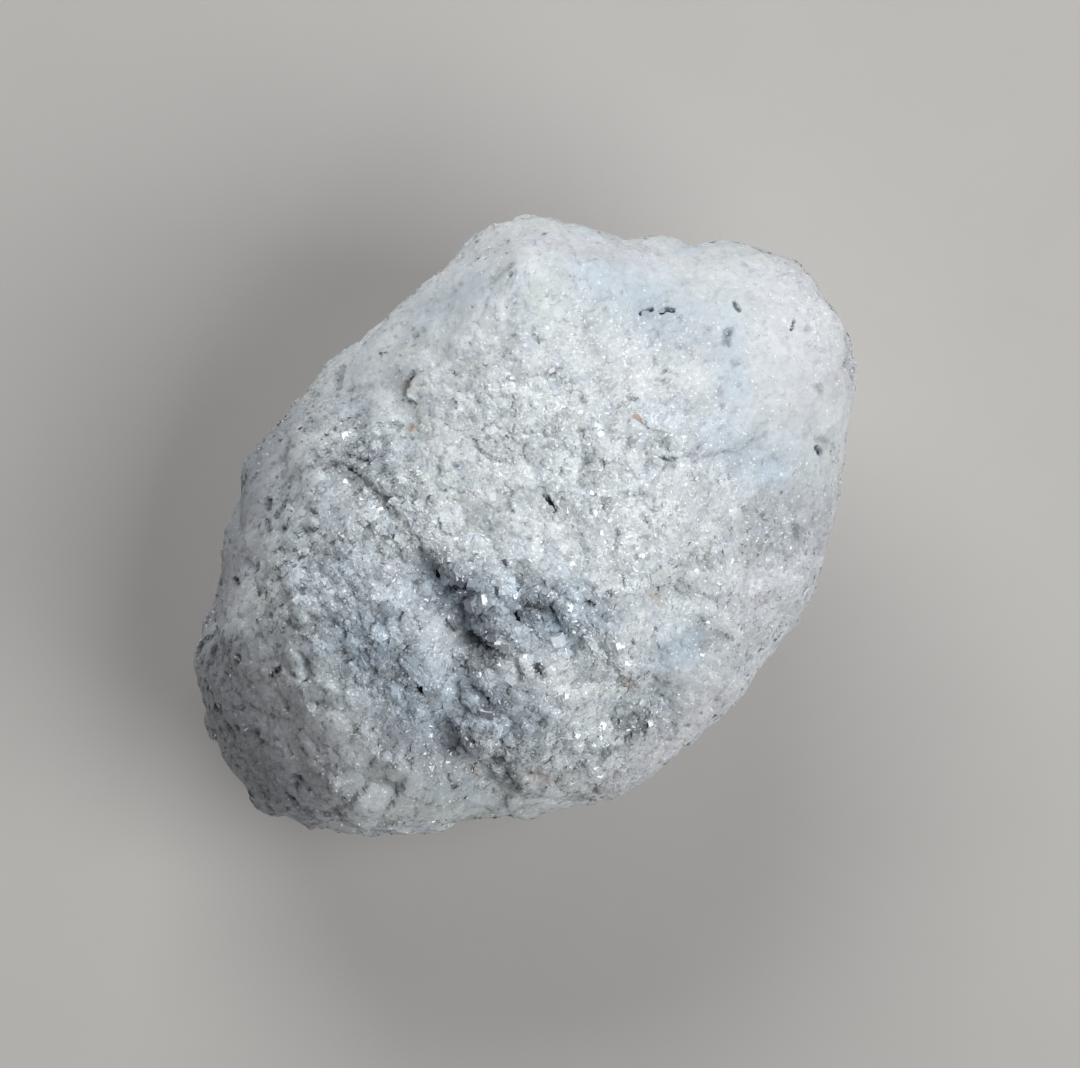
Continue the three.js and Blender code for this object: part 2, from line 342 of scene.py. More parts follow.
def cut_finer(corners, triangles):
    """The same surface with the faces round the sharpest marks cut into smaller ones."""
    mesh = bpy.data.meshes.new("cut")
    mesh.from_pydata(corners.tolist(), [], triangles.tolist())
    form = bmesh.new()
    form.from_mesh(mesh)
    form.edges.ensure_lookup_table()
    ends = np.array([[v.index for v in edge.verts] for edge in form.edges])
    middles = corners[ends].mean(1)
    seen = middles[:, 2] > stone_middle[2]
    place = in_picture(middles)
    near = np.zeros(len(middles), bool)
    for pit in FINE_MARKS:
        near |= distance_to_line(place, pit["line"]) < pit["width"] / 2 + FINE_REACH
    chosen = [form.edges[i] for i in np.flatnonzero(near & seen)]
    bmesh.ops.subdivide_edges(form, edges=chosen, cuts=FINE_CUTS, use_grid_fill=True)
    bmesh.ops.triangulate(form, faces=form.faces)
    form.to_mesh(mesh)
    form.free()
    finer = np.empty(len(mesh.vertices) * 3)
    mesh.vertices.foreach_get("co", finer)
    faces = np.empty(len(mesh.polygons) * 3, np.int64)
    mesh.polygons.foreach_get("vertices", faces)
    bpy.data.meshes.remove(mesh)
    return finer.reshape(-1, 3), faces.reshape(-1, 3)


body, body_faces = cut_finer(body, body_faces)
body_normals = corner_normals(body, body_faces)


# Ground of one kind, in the picture. Each patch fades out over its width.
def patch(line, width, strength=1.0):
    return {"line": line, "width": width, "strength": strength}


ROUGH_GROUND = {
    "deep hollow": patch([(458, 582), (500, 640)], 36),
    "blocks right of it": patch([(512, 600), (560, 625)], 30, 0.85),
    "trough": patch([(465, 660), (480, 700), (500, 760)], 28, 0.75),
    "corner hollow": patch([(655, 455), (680, 460)], 18, 0.4),
    "near right": patch([(600, 640), (640, 720)], 30, 0.6),
    "left of the hollow": patch([(400, 560), (420, 600)], 34, 0.6),
    "left": patch([(320, 570), (400, 690)], 64, 0.45),
    "left of the middle": patch([(360, 440), (420, 540)], 50, 0.5),
    "near": patch([(420, 710), (600, 740)], 56, 0.45),
    "near left end": patch([(240, 660), (310, 780)], 52, 0.12),
    "triangle": patch([(340, 460), (360, 472)], 20, 0.5),
    "plateau": patch([(500, 390), (640, 520)], 90, 0.3),
    "right": patch([(640, 560), (740, 570)], 70, 0.35),
}
WORN_GROUND = {
    "far right lobe": patch([(720, 290), (800, 410)], 84),
    "far rim": patch([(540, 250), (700, 290)], 64, 0.95),
    "far left": patch([(360, 350), (520, 270)], 70, 0.95),
    "right": patch([(700, 560), (790, 600)], 60, 0.35),
    "round lobe": patch([(430, 610), (452, 632)], 17, 0.4),
    "pale crystal": patch([(452, 505), (454, 520)], 9, 0.8),
    "left edge": patch([(230, 560), (280, 450)], 36, 0.6),
}


def ground(place, patches):
    """How much the picture's places are within these patches, 0 to 1."""
    within = np.zeros(len(place))
    for p in patches.values():
        away = distance_to_line(place, p["line"]) / p["width"]
        within = np.maximum(within, p["strength"] * np.exp(-away * away))
    return within


# Large odd numbers, which mix the place of a cell and a seed into slopes by chance
CELL_MIXERS = (73856093, 19349663, 83492791)
SEED_MIXER = 2971215073
STIRS = ((15, 2246822519), (13, 3266489917))
LOW_BITS = 0xFFFFFFFF
SLOPE_BITS = 10
SLOPE_MOST = 2**SLOPE_BITS - 1
WAVE_GAIN = 1.4


def waves(points, across, seed):
    """Smooth random waves, about -1 to 1 high and `across` wide."""
    at = points / across
    cell = np.floor(at).astype(np.int64)
    off = at - cell
    fade = off**3 * (off * (off * 6 - 15) + 10)
    total = np.zeros(len(points))
    for corner in itertools.product((0, 1), repeat=3):
        x, y, z = ((cell + corner) * CELL_MIXERS).T
        mixed = x ^ y ^ z ^ seed * SEED_MIXER
        for shift, mixer in STIRS:
            mixed = (mixed ^ mixed >> shift) * mixer & LOW_BITS
        slopes = np.stack([mixed >> SLOPE_BITS * i & SLOPE_MOST for i in range(3)], 1)
        slopes = slopes * 2 / SLOPE_MOST - 1
        share = np.prod(np.where(corner, fade, 1 - fade), axis=1)
        total += share * (slopes * (off - corner)).sum(1)
    return total * WAVE_GAIN


BODY_AREA = lengths(face_outward(body, body_faces)).sum() / 2


class Crystals:
    """The crystals of one size in the stone. Each holds the places nearest to it."""

    # How much their edges bend and how long each bend is, and how far in the grooves reach, all
    # as shares of the crystals' width
    BENT = 0.18
    BEND_ACROSS = 0.7
    GROOVE_REACH = 0.3
    BEND_SEED = 50

    def __init__(self, across, step, tilt, groove, seed):
        luck = np.random.default_rng(seed)
        count = int(BODY_AREA / across**2)
        self.across, self.groove, self.seed = across, groove, seed
        self.centres = body[luck.choice(len(body), count, replace=False)]
        self.rise = luck.uniform(-step, step, count)
        self.lean = luck.normal(0, tilt, (count, 3))
        self.shade = luck.normal(0, 1, count).clip(-2, 2)
        self.tint = luck.random(count)
        self.tree = KDTree(count)
        for i, centre in enumerate(self.centres.tolist()):
            self.tree.insert(centre, i)
        self.tree.balance()

    def holding(self, points):
        """Which crystal holds each point, and how far inside its edge the point is."""
        wide = self.across * self.BEND_ACROSS
        bend = [waves(points, wide, self.seed + self.BEND_SEED + i) for i in range(3)]
        bent = points + np.stack(bend, 1) * self.across * self.BENT
        found = [self.tree.find_n(p, 2) for p in bent.tolist()]
        which = np.array([pair[0][1] for pair in found])
        inside = np.array([pair[1][2] - pair[0][2] for pair in found])
        return which, inside / self.across

    def relief(self, points, normals):
        """Heights of flat faces, each tilted and stepped its own way, with grooves between them."""
        which, inside = self.holding(points)
        off = points - self.centres[which]
        off -= (off * normals).sum(1, keepdims=True) * normals
        heights = self.rise[which] + (self.lean[which] * off).sum(1)
        return heights - self.groove * (1 - ramp(inside, 0, self.GROOVE_REACH))


large_crystals = Crystals(across=0.7 * MM, step=0.007 * MM, tilt=0.03, groove=0.008 * MM, seed=5)
middle_crystals = Crystals(across=0.3 * MM, step=0.006 * MM, tilt=0.09, groove=0.003 * MM, seed=6)
small_crystals = Crystals(across=0.13 * MM, step=0.003 * MM, tilt=0.13, groove=0.0015 * MM, seed=7)
BROAD_WAVES = {"across": 0.9 * MM, "height": 0.012 * MM}
FINE_WAVES = {"across": 0.35 * MM, "height": 0.008 * MM}
# The relief fades out towards the flat spot that the stone rests on, between these heights
REST_FADE = (0.03 * MM, 0.5 * MM)
# How far the stone between the grains lies under the solid's surface
GROUND_UNDER = 0.014 * MM
# Marks and ground fade out where the surface turns this far away from the camera
VIEW_END = (0.02, 0.2)
# How much rough ground raises the relief, and how much worn ground lowers it
RELIEF_VARIES = (2.6, 0.5)


def seen_by_camera(normals):
    return ramp(normals @ towards_camera, *VIEW_END)


def varied(rough, worn, more, less):
    """A share that rough ground raises and worn ground lowers."""
    return (1 + more * rough) * (1 - less * worn)


body_place = in_picture(body)
body_seen = seen_by_camera(body_normals)
body_rough = ground(body_place, ROUGH_GROUND) * body_seen
body_worn = ground(body_place, WORN_GROUND) * body_seen
broad_relief = (
    large_crystals.relief(body, body_normals)
    + middle_crystals.relief(body, body_normals)
    + waves(body, BROAD_WAVES["across"], seed=3) * BROAD_WAVES["height"]
)
fine_relief = (
    small_crystals.relief(body, body_normals)
    + waves(body, FINE_WAVES["across"], seed=4) * FINE_WAVES["height"]
)
roughness_here = varied(body_rough, body_worn, *RELIEF_VARIES)
rest_share = ramp(body[:, 2], *REST_FADE)

# Low swellings that show in the photograph, in its pixels, with their heights
RISES = {
    "pale crystal": (patch([(447, 512), (450, 522)], 16), 0.05 * MM),
    "under the pale crystal": (patch([(438, 550), (446, 568)], 16), 0.1 * MM),
}
for name, (swelling, rise) in RISES.items():
    broad_relief += ground(body_place, {name: swelling}) * body_seen * rise

# A pit's edge wanders by this share of its half width. Its wall and the end of its dark lie
# between these shares of the half width.
EDGE_WANDER = 0.3
WANDER_COARSE = 0.12 * MM
WANDER_FINE = 0.06 * MM
PIT_WALL = (0.5, 1.5)
DARK_END = (0.4, 1.7)
body_dark = np.zeros(len(body))
pit_depth = np.zeros(len(body))
wander = waves(body, WANDER_COARSE, seed=8) + waves(body, WANDER_FINE, seed=9) / 2
for pit in PITS.values():
    half = pit["width"] / 2
    away = distance_to_line(body_place, pit["line"]) / half + wander * EDGE_WANDER
    pit_depth = np.maximum(pit_depth, pit["depth"] * (1 - ramp(away, *PIT_WALL)))
    body_dark = np.maximum(body_dark, pit["dark"] * (1 - ramp(away, *DARK_END)))
body_dark *= body_seen

# Light sinks a little into the cloudy stone, so its shading follows the broad relief alone
SOFT_ROUNDS = 3
broad_body = body + body_normals * (broad_relief * roughness_here * rest_share)[:, None]
soft_outward = unit(evened(corner_normals(broad_body, body_faces), body_faces, SOFT_ROUNDS))

# No part of the relief stands higher than this
RELIEF_LIMIT = 0.13 * MM
relief = broad_relief * roughness_here + fine_relief * (1 + body_rough)
relief = np.where(relief > 0, RELIEF_LIMIT * np.tanh(relief / RELIEF_LIMIT), relief)
height = (relief - GROUND_UNDER) * rest_share
body = body + body_normals * (height - pit_depth * body_seen)[:, None]
body[:, 2] = np.maximum(body[:, 2], 0)


def mesh_piece(name, corners, triangles):
    """An object of these triangles, with flat faces."""
    mesh = bpy.data.meshes.new(name)
    mesh.vertices.add(len(corners))
    mesh.vertices.foreach_set("co", corners.astype(np.float32).ravel())
    mesh.loops.add(triangles.size)
    mesh.loops.foreach_set("vertex_index", triangles.astype(np.int32).ravel())
    mesh.polygons.add(len(triangles))
    mesh.polygons.foreach_set("loop_start", np.arange(0, triangles.size, 3, dtype=np.int32))
    mesh.update(calc_edges=True)
    mesh.validate()
    mesh.shade_flat()
    piece = bpy.data.objects.new(name, mesh)
    bpy.context.scene.collection.objects.link(piece)
    return piece


def paint(piece, name, values, on="POINT"):
    """Gives each corner or face of the mesh a number or direction that its material reads."""
    values = np.asarray(values, np.float32)
    if values.ndim == 2:
        layer = piece.data.attributes.new(name, "FLOAT_VECTOR", on)
        layer.data.foreach_set("vector", values.ravel())
    else:
        layer = piece.data.attributes.new(name, "FLOAT", on)
        layer.data.foreach_set("value", values)


# Each side's part of the colour map is filled to this share. No face counts as looking away from
# its side by more than this, so that none is stretched far.
MAP_FILLED = 0.94
LEAST_OUT = 0.2


def add_colour_map(piece, corners, triangles, facing):
    """Lays the faces on a six-part map, by the side of the stone that each looks to."""
    side_axis = np.abs(facing).argmax(1)
    rows = np.arange(len(facing))
    sign = np.sign(facing[rows, side_axis])
    side = side_axis * 2 + (sign > 0)
    way = unit(corners[triangles] - stone_middle)
    out, first, second = (
        np.take_along_axis(way, (side_axis[:, None, None] + step) % 3, 2)[..., 0]
        for step in range(3)
    )
    out = np.maximum(np.abs(out), LEAST_OUT)
    inset = MAP_FILLED * 2 / math.pi
    u = (side[:, None] % 3 + 0.5 + np.arctan(first / out) * inset) / 3
    v = (side[:, None] // 3 + 0.5 + np.arctan(second / out) * inset) / 2
    layer = piece.data.uv_layers.new(name="OFBake")
    layer.data.foreach_set("uv", np.stack([u, v], -1).astype(np.float32).ravel())


stone = mesh_piece("stone", body, body_faces)
add_colour_map(stone, body, body_faces, body[body_faces].mean(1) - stone_middle)

# Tints of the ground, by the picture: where the stone is bluer, greener, pinker, paler or darker.
# The paler ground is partly painted light and the darker ground partly painted shade.
BLUE_GROUND = {
    "left shoulder": patch([(300, 500), (330, 570)], 50, 0.75),
    "left of the middle": patch([(360, 640), (430, 700)], 60, 0.75),
    "round the hollow": patch([(440, 590), (560, 620)], 44, 0.75),
    "near trough": patch([(470, 700), (530, 720)], 34, 0.7),
    "far side": patch([(590, 270), (670, 320)], 30, 0.65),
    "far right": patch([(728, 310), (735, 390)], 20, 0.6),
    "right of the corner": patch([(720, 440), (770, 470)], 34, 0.6),
    "far left": patch([(420, 320), (480, 285)], 22, 0.5),
    "upper left": patch([(350, 400), (380, 460)], 34, 0.4),
    "teal by the nick": patch([(575, 590), (600, 620)], 20, 0.8),
    "teal, near right": patch([(655, 665), (690, 640)], 26, 0.7),
    "right flank": patch([(790, 540), (800, 570)], 22, 0.5),
}
GREEN_GROUND = {
    "plateau": patch([(520, 400), (580, 500)], 52, 0.75),
    "far plateau": patch([(540, 290), (540, 330)], 26, 0.6),
    "right of the middle": patch([(640, 570), (700, 600)], 34, 0.8),
    "left of the crystal": patch([(385, 428), (410, 430)], 18, 0.8),
    "corner": patch([(655, 440), (668, 450)], 14, 0.8),
    "near right": patch([(600, 740), (660, 700)], 26, 0.7),
    "green oval": patch([(602, 757), (617, 749)], 12),
    "near left": patch([(380, 650), (400, 660)], 22, 0.5),
    "middle": patch([(500, 545), (560, 555)], 20, 0.5),
    "near edge": patch([(440, 800), (500, 790)], 24, 0.6),
}
PINK_GROUND = {
    "near left face": patch([(230, 690), (300, 790)], 50, 0.9),
    "left edge": patch([(215, 620), (270, 460)], 22, 0.6),
    "right flank": patch([(750, 610), (830, 530)], 34, 0.7),
    "far right lobe": patch([(790, 290), (835, 380)], 34, 0.8),
    "near right edge": patch([(600, 790), (720, 700)], 20, 0.6),
    "far edge": patch([(500, 240), (640, 250)], 14, 0.5),
}
# Paler ground: partly paler crystals, and partly painted light where the plateau, the lobes, the
# edges and the left shoulder face the lamps
PALE_AND_LIT_GROUND = {
    "plateau": patch([(500, 380), (620, 500)], 70, 0.85),
    "right of the middle": patch([(590, 520), (720, 570)], 60, 0.95),
    "far right lobe": patch([(750, 300), (800, 350)], 55, 0.5),
    "round lobe": patch([(432, 612), (450, 630)], 17, 0.7),
    "pale crystal": patch([(450, 502), (455, 522)], 11, 1.0),
    "under the pale crystal": patch([(440, 542), (456, 548)], 16, 0.9),
    "square block": patch([(650, 442), (656, 448)], 8, 0.9),
    "far left edge": patch([(430, 260), (480, 240)], 30, 0.9),
    "left shoulder": patch([(305, 450), (320, 580)], 26, 0.8),
    "far right edge": patch([(800, 300), (835, 420)], 30, 0.6),
    "near right": patch([(630, 655), (650, 670)], 24, 0.7),
}
# Darker ground: partly darker crystals, and partly painted shade in the hollows and the trough and
# on the sides turned away from the lamps
DARK_AND_SHADED_GROUND = {
    "deep hollow": patch([(462, 585), (478, 630), (496, 640)], 26, 0.8),
    "left of the hollow": patch([(410, 570), (422, 600)], 26, 0.5),
    "blocks": patch([(515, 612), (552, 612)], 14, 0.55),
    "under the blocks": patch([(510, 636), (540, 645)], 18, 0.45),
    "trough": patch([(462, 668), (485, 700), (450, 740), (500, 760)], 15, 0.45),
    "near trough": patch([(415, 745), (450, 775)], 26, 0.5),
    "near left face": patch([(215, 650), (225, 740), (290, 810)], 42, 0.85),
    "left edge": patch([(205, 640), (225, 560), (250, 470), (280, 405)], 24, 0.75),
    "near right hollow": patch([(633, 716), (650, 728)], 18, 0.4),
    "over the triangle": patch([(345, 455), (368, 462)], 14, 0.3),
    "right flank": patch([(760, 535), (810, 520)], 28, 0.35),
    "far right": patch([(660, 320), (690, 340)], 30, 0.2),
    "near corner": patch([(530, 490), (545, 510)], 20, 0.12),
}
RUST_SPOTS = {
    "by the white crystal": patch([(412, 426), (411, 429)], 2.4),
    "far speck": patch([(637, 416), (641, 421)], 2.2),
    "yellow stain": patch([(652, 597), (658, 601)], 5, 0.4),
    "brown stain": patch([(629, 680), (631, 688)], 5, 0.35),
    "near stain": patch([(536, 776), (544, 779)], 7, 0.35),
    "notch stain": patch([(410, 378), (406, 388)], 4, 0.4),
    "low left stain": patch([(470, 768), (476, 772)], 6, 0.3),
}

# How much the crystals of each size differ in brightness, and how dark the seams between them are
LARGE_SHADE = 0.025
MIDDLE_SHADE = 0.05
SMALL_SHADE = 0.05
MIDDLE_SEAM = 0.12
SMALL_SEAM = 0.03
SEAM_SHARE = 0.16
SMALL_SEAM_SHARE = SEAM_SHARE * 1.5
# The seams come and go in stretches of about this length
SEAM_STRETCH = 0.5 * MM
SEAM_BREAKS = (-0.15, 0.35)
SHADE_VARIES = (2.2, 0.5)

# Which crystals are bluish, greenish or cream, how much of the tint they take, and how wide the
# clouds are in which green and cream ones gather
GREEN_CLOUDS = 1.4 * MM
CREAM_CLOUDS = 0.8 * MM
SPECKLE_LEAST = 0.75
BLUE_CRYSTALS = (0.55, 0.95)
GREEN_CRYSTALS = (0.6, 0.95)
CREAM_CRYSTALS = (0.25, 0.6)
TINT_MOST = 0.45
CREAM_MOST = 0.5
CLOUD_SHARE = 0.3

# The colours carry on past the edge of the view and fade out under the stone
COLOURS_END = (-0.75, 0.1)


def tints(points, normals):
    """What the material reads at these points of the stone, by name."""
    place = in_picture(points)
    seen = seen_by_camera(normals)
    carried = ramp(normals @ towards_camera, *COLOURS_END)
    rough = ground(place, ROUGH_GROUND) * seen
    worn = ground(place, WORN_GROUND) * seen
    in_large, _ = large_crystals.holding(points)
    in_middle, middle_inside = middle_crystals.holding(points)
    in_small, small_inside = small_crystals.holding(points)
    middle_seam = 1 - ramp(middle_inside, 0, SEAM_SHARE)
    middle_seam *= ramp(waves(points, SEAM_STRETCH, seed=21), *SEAM_BREAKS)
    small_seam = 1 - ramp(small_inside, 0, SMALL_SEAM_SHARE)
    shade = (
        large_crystals.shade[in_large] * LARGE_SHADE
        + middle_crystals.shade[in_middle] * MIDDLE_SHADE
        + small_crystals.shade[in_small] * SMALL_SHADE
        - middle_seam * MIDDLE_SEAM
        - small_seam * SMALL_SEAM
    )
    shade *= varied(rough, worn, *SHADE_VARIES)
    tint = middle_crystals.tint[in_middle]
    blue = ramp(tint, *BLUE_CRYSTALS) * TINT_MOST
    green_clouds = waves(points, GREEN_CLOUDS, seed=23) * CLOUD_SHARE
    green = ramp(1 - tint + green_clouds, *GREEN_CRYSTALS) * TINT_MOST
    cream_clouds = waves(points, CREAM_CLOUDS, seed=24)
    cream = ramp(cream_clouds + tint * CLOUD_SHARE, *CREAM_CRYSTALS) * CREAM_MOST
    speckle = SPECKLE_LEAST + tint / 2
    against = 1 + SPECKLE_LEAST - speckle
    return {
        "blue": np.maximum(blue, ground(place, BLUE_GROUND) * carried * speckle),
        "green": np.maximum(green, ground(place, GREEN_GROUND) * carried * against),
        "pink": ground(place, PINK_GROUND) * carried * speckle,
        "cream": cream,
        "pale": ground(place, PALE_AND_LIT_GROUND) * carried,
        "dark_and_shade": ground(place, DARK_AND_SHADED_GROUND) * carried,
        "rust": ground(place, RUST_SPOTS) * seen,
        "rough": rough,
        "worn": worn,
        "seam": middle_seam,
        "shade": shade,
    }


body_tints = tints(body, body_normals)
for name, values in body_tints.items():
    paint(stone, name, values)
paint(stone, "pit", body_dark)
paint(stone, "soft", soft_outward)

# How strongly a face shows its own slant: everywhere, more in rough ground, less in worn ground
STONE_FACET = (0.3, 0.7, 0.1)


def facets(rough, worn, anywhere, more, less):
    return anywhere + more * rough - less * worn


paint(stone, "facet", facets(body_rough, body_worn, *STONE_FACET))

# Light that has come through the crystals leaves each face brighter or darker than its neighbours
FACE_TONE = 0.06
FACE_TONE_IN_ROUGH = 0.22
WORN_TONE_LOSS = 0.6
face_rough = body_rough[body_faces].mean(1)
face_worn = body_worn[body_faces].mean(1)


def face_tones(rough, worn, number, luck):
    """How much brighter each face is, for `number` faces at every one of these places."""
    most = (FACE_TONE + FACE_TONE_IN_ROUGH * rough) * (1 - WORN_TONE_LOSS * worn)
    return (luck.uniform(-1, 1, (len(rough), number)) * most[:, None]).ravel()


paint(stone, "tone", face_tones(face_rough, face_worn, 1, chance), "FACE")


# The stone's own substance: grey-white, here and there greenish, lilac or cream, greyer in its
# hollows, partly with painted shade, and nearly black in its pits. Diamond bends light strongly, so
# clean faces glint.
PALE_STONE = (0.825, 0.873, 0.907, 1)
BLUE_STONE = (0.60, 0.725, 0.845, 1)
GREEN_STONE = (0.70, 0.805, 0.785, 1)
PINK_STONE = (0.80, 0.805, 0.865, 1)
CREAM_STONE = (0.83, 0.86, 0.86, 1)
# The colour of the darker ground, which is partly painted shade
DARK_AND_SHADE_STONE = (0.20, 0.235, 0.28, 1)
PIT_GREY = (0.11, 0.13, 0.155, 1)
PIT_BLACK = (0.008, 0.010, 0.012, 1)
RUST = (0.42, 0.20, 0.07, 1)

# How far the painted ground goes towards its colour, the darker ground holding painted shade as well
# as darker crystals, how much brighter pale ground is, which is partly painted light, and where a
# pit turns grey and then black
PALE_AND_LIT_SHARE = 0.6
PALE_AND_LIT_LIFT = 0.05
DARK_AND_SHADE_SHARE = 0.8
GREY_FROM_TO = (0.0, 0.9)
BLACK_FROM_TO = (0.8, 1.1)
# The fine mottling of the colour and of the gloss: patches to a millimetre, detail, and the range
# that the noise between NOISE_FROM_TO is laid over
NOISE_FROM_TO = (0.3, 0.7)
MOTTLE = {"scale": 9.0, "detail": 4}
MOTTLE_RANGE = (0.93, 1.07)
GLOSS_MOTTLE = {"scale": 6.0, "detail": 2}
GLOSS_RANGE = (-0.08, 0.1)
# The frosted ground scatters light as a milky body does, and clean faces mirror it as diamond
FROSTED_IOR = 1.5
DIAMOND_IOR = 2.42
CLEAN_ROUGHNESS = 0.12
FLAT_WEIGHT = 0.8
# Glints: how wide each is in millimetres, how far it tilts, and how strong it is
GLINT_ACROSS = 0.034
GLINT_TILT = 0.65
GLINT_WEIGHT = 0.5


class Nodes:
    """A material's nodes, placed in a row as they are added."""

    SPACING = 180
    # The numbers of a mix node's colour sockets
    MIX_SHARE, MIX_FIRST, MIX_SECOND, MIX_RESULT = 0, 6, 7, 2

    def __init__(self, name):
        self.material = bpy.data.materials.new(name)
        self.material.use_nodes = True
        self.tree = self.material.node_tree
        self.tree.nodes.clear()

    def add(self, kind, inputs=(), **settings):
        node = self.tree.nodes.new(kind)
        node.location = (len(self.tree.nodes) * self.SPACING, 0)
        for name, value in settings.items():
            setattr(node, name, value)
        for socket, value in dict(inputs).items():
            if isinstance(value, bpy.types.NodeSocket):
                self.tree.links.new(value, node.inputs[socket])
            else:
                node.inputs[socket].default_value = value
        return node

    def painted(self, name, output="Fac"):
        """What paint() gave the mesh under this name."""
        return self.add("ShaderNodeAttribute", attribute_name=name).outputs[output]

    def math(self, operation, first, second):
        node = self.add("ShaderNodeMath", {0: first, 1: second}, operation=operation)
        return node.outputs[0]

    def arrows(self, operation, first, second=(0, 0, 0)):
        inputs = {0: first, "Scale" if operation == "SCALE" else 1: second}
        return self.add("ShaderNodeVectorMath", inputs, operation=operation).outputs[0]

    def spread(self, value, start, end, low=0.0, high=1.0):
        """The value's range from start to end, laid over low to high."""
        steps = {"Value": value, "From Min": start, "From Max": end}
        node = self.add("ShaderNodeMapRange", {**steps, "To Min": low, "To Max": high})
        return node.outputs["Result"]

    def mix(self, share, first, second, blend="MIX"):
        inputs = {self.MIX_SHARE: share, self.MIX_FIRST: first, self.MIX_SECOND: second}
        node = self.add("ShaderNodeMix", inputs, data_type="RGBA", blend_type=blend)
        return node.outputs[self.MIX_RESULT]

    def noise(self, place, scale, detail):
        settings = {"Vector": place, "Scale": scale, "Detail": detail}
        return self.add("ShaderNodeTexNoise", settings).outputs["Fac"]


def diamond_finish(name, roughness, gloss):
    """The stone's material: frosted, or also clear on top, in one flat face or in tiny glints."""
    nodes = Nodes(name)
    where = nodes.add("ShaderNodeTexCoord").outputs["Object"]
    where = nodes.arrows("SCALE", where, 1 / MM)
    colour = nodes.mix(nodes.painted("cream"), PALE_STONE, CREAM_STONE)
    colour = nodes.mix(nodes.painted("green"), colour, GREEN_STONE)
    colour = nodes.mix(nodes.painted("blue"), colour, BLUE_STONE)
    colour = nodes.mix(nodes.painted("pink"), colour, PINK_STONE)
    # Pale ground, partly paler crystals and partly painted light, lightens the colour and raises the
    # tone
    pale = nodes.painted("pale")
    colour = nodes.mix(nodes.math("MULTIPLY", pale, PALE_AND_LIT_SHARE), colour, PALE_STONE)
    mottle = nodes.spread(nodes.noise(where, **MOTTLE), *NOISE_FROM_TO, *MOTTLE_RANGE)
    tone = nodes.math("ADD", nodes.painted("shade"), mottle)
    tone = nodes.math("ADD", tone, nodes.painted("tone"))
    tone = nodes.math("ADD", tone, nodes.math("MULTIPLY", pale, PALE_AND_LIT_LIFT))
    grey = nodes.add("ShaderNodeCombineColor", {0: tone, 1: tone, 2: tone}).outputs[0]
    colour = nodes.mix(1.0, colour, grey, "MULTIPLY")
    # The darker ground, partly painted shade, goes towards the dark colour
    dark_and_shade = nodes.math("MULTIPLY", nodes.painted("dark_and_shade"), DARK_AND_SHADE_SHARE)
    colour = nodes.mix(dark_and_shade, colour, DARK_AND_SHADE_STONE)
    colour = nodes.mix(nodes.painted("rust"), colour, RUST)
    # Pits, and the marks in the hollow and the trough that also hold painted shade, turn grey and
    # then black
    pit = nodes.painted("pit")
    colour = nodes.mix(nodes.spread(pit, *GREY_FROM_TO), colour, PIT_GREY)
    colour = nodes.mix(nodes.spread(pit, *BLACK_FROM_TO), colour, PIT_BLACK)
    glossy, matt = (roughness + change for change in GLOSS_RANGE)
    sheen = nodes.spread(nodes.noise(where, **GLOSS_MOTTLE), *NOISE_FROM_TO, glossy, matt)
    # Light sinks in and softens the slant that each face shows, but not its glints
    slant = nodes.add("ShaderNodeNewGeometry").outputs["Normal"]
    own = nodes.arrows("SCALE", slant, nodes.painted("facet"))
    soft = nodes.arrows("ADD", nodes.painted("soft", "Vector"), own)
    inputs = {
        "Base Color": colour,
        "Roughness": sheen,
        "IOR": FROSTED_IOR,
        "Normal": nodes.arrows("NORMALIZE", soft),
    }
    if gloss == "flat":
        inputs.update({"Coat Weight": FLAT_WEIGHT, "Coat Normal": slant})
    if gloss == "glints":
        cells = nodes.add("ShaderNodeTexVoronoi", {"Vector": where, "Scale": 1 / GLINT_ACROSS})
        lean = nodes.arrows("SUBTRACT", cells.outputs["Color"], (0.5, 0.5, 0.5))
        lean = nodes.arrows("SCALE", lean, GLINT_TILT * 2)
        glint = nodes.arrows("NORMALIZE", nodes.arrows("ADD", slant, lean))
        inputs.update({"Coat Weight": GLINT_WEIGHT, "Coat Normal": glint})
    if gloss != "none":
        inputs.update({"Coat Roughness": CLEAN_ROUGHNESS, "Coat IOR": DIAMOND_IOR})
    shader = nodes.add("ShaderNodeBsdfPrincipled", inputs)
    nodes.add("ShaderNodeOutputMaterial", {"Surface": shader.outputs[0]})
    return nodes.material


frosted = diamond_finish("frosted diamond", roughness=0.5, gloss="none")
glinting = diamond_finish("glinting diamond", roughness=0.5, gloss="glints")
clear = diamond_finish("clear diamond", roughness=0.35, gloss="flat")


def shared_out(piece, finishes, shares, luck, each=1):
    """Gives every run of `each` faces the first finish, or by these shares one of the others."""
    for finish in finishes:
        piece.data.materials.append(finish)
    draw = luck.random(len(shares[0]))
    number = np.zeros(len(draw), int)
    reach = 0
    for i, share in enumerate(shares, 1):
        number[(draw >= reach) & (draw < reach + share)] = i
        reach = reach + share
    piece.data.polygons.foreach_set("material_index", np.repeat(number, each).astype(np.int32))


# The share of the faces that glint, how much more of them do in rough ground, and how much wear
# takes away
GLINTING_FACES = 0.85
GLINTING_IN_ROUGH = 0.2
WORN_GLINT_LOSS = 0.9
stone_glints = GLINTING_FACES + GLINTING_IN_ROUGH * face_rough
stone_glints *= 1 - WORN_GLINT_LOSS * face_worn
shared_out(stone, [frosted, glinting], [stone_glints], chance)
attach(stone, "root")
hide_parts("rough_diamond")

# The grain
#
# The crystals that the stone is grown from stand out of it everywhere as a sugary grain: small
# corners, eight-sided crystals and squarish blocks, each half sunk in the rest, worn low and at
# its own slant, so that some catch the light and glint.

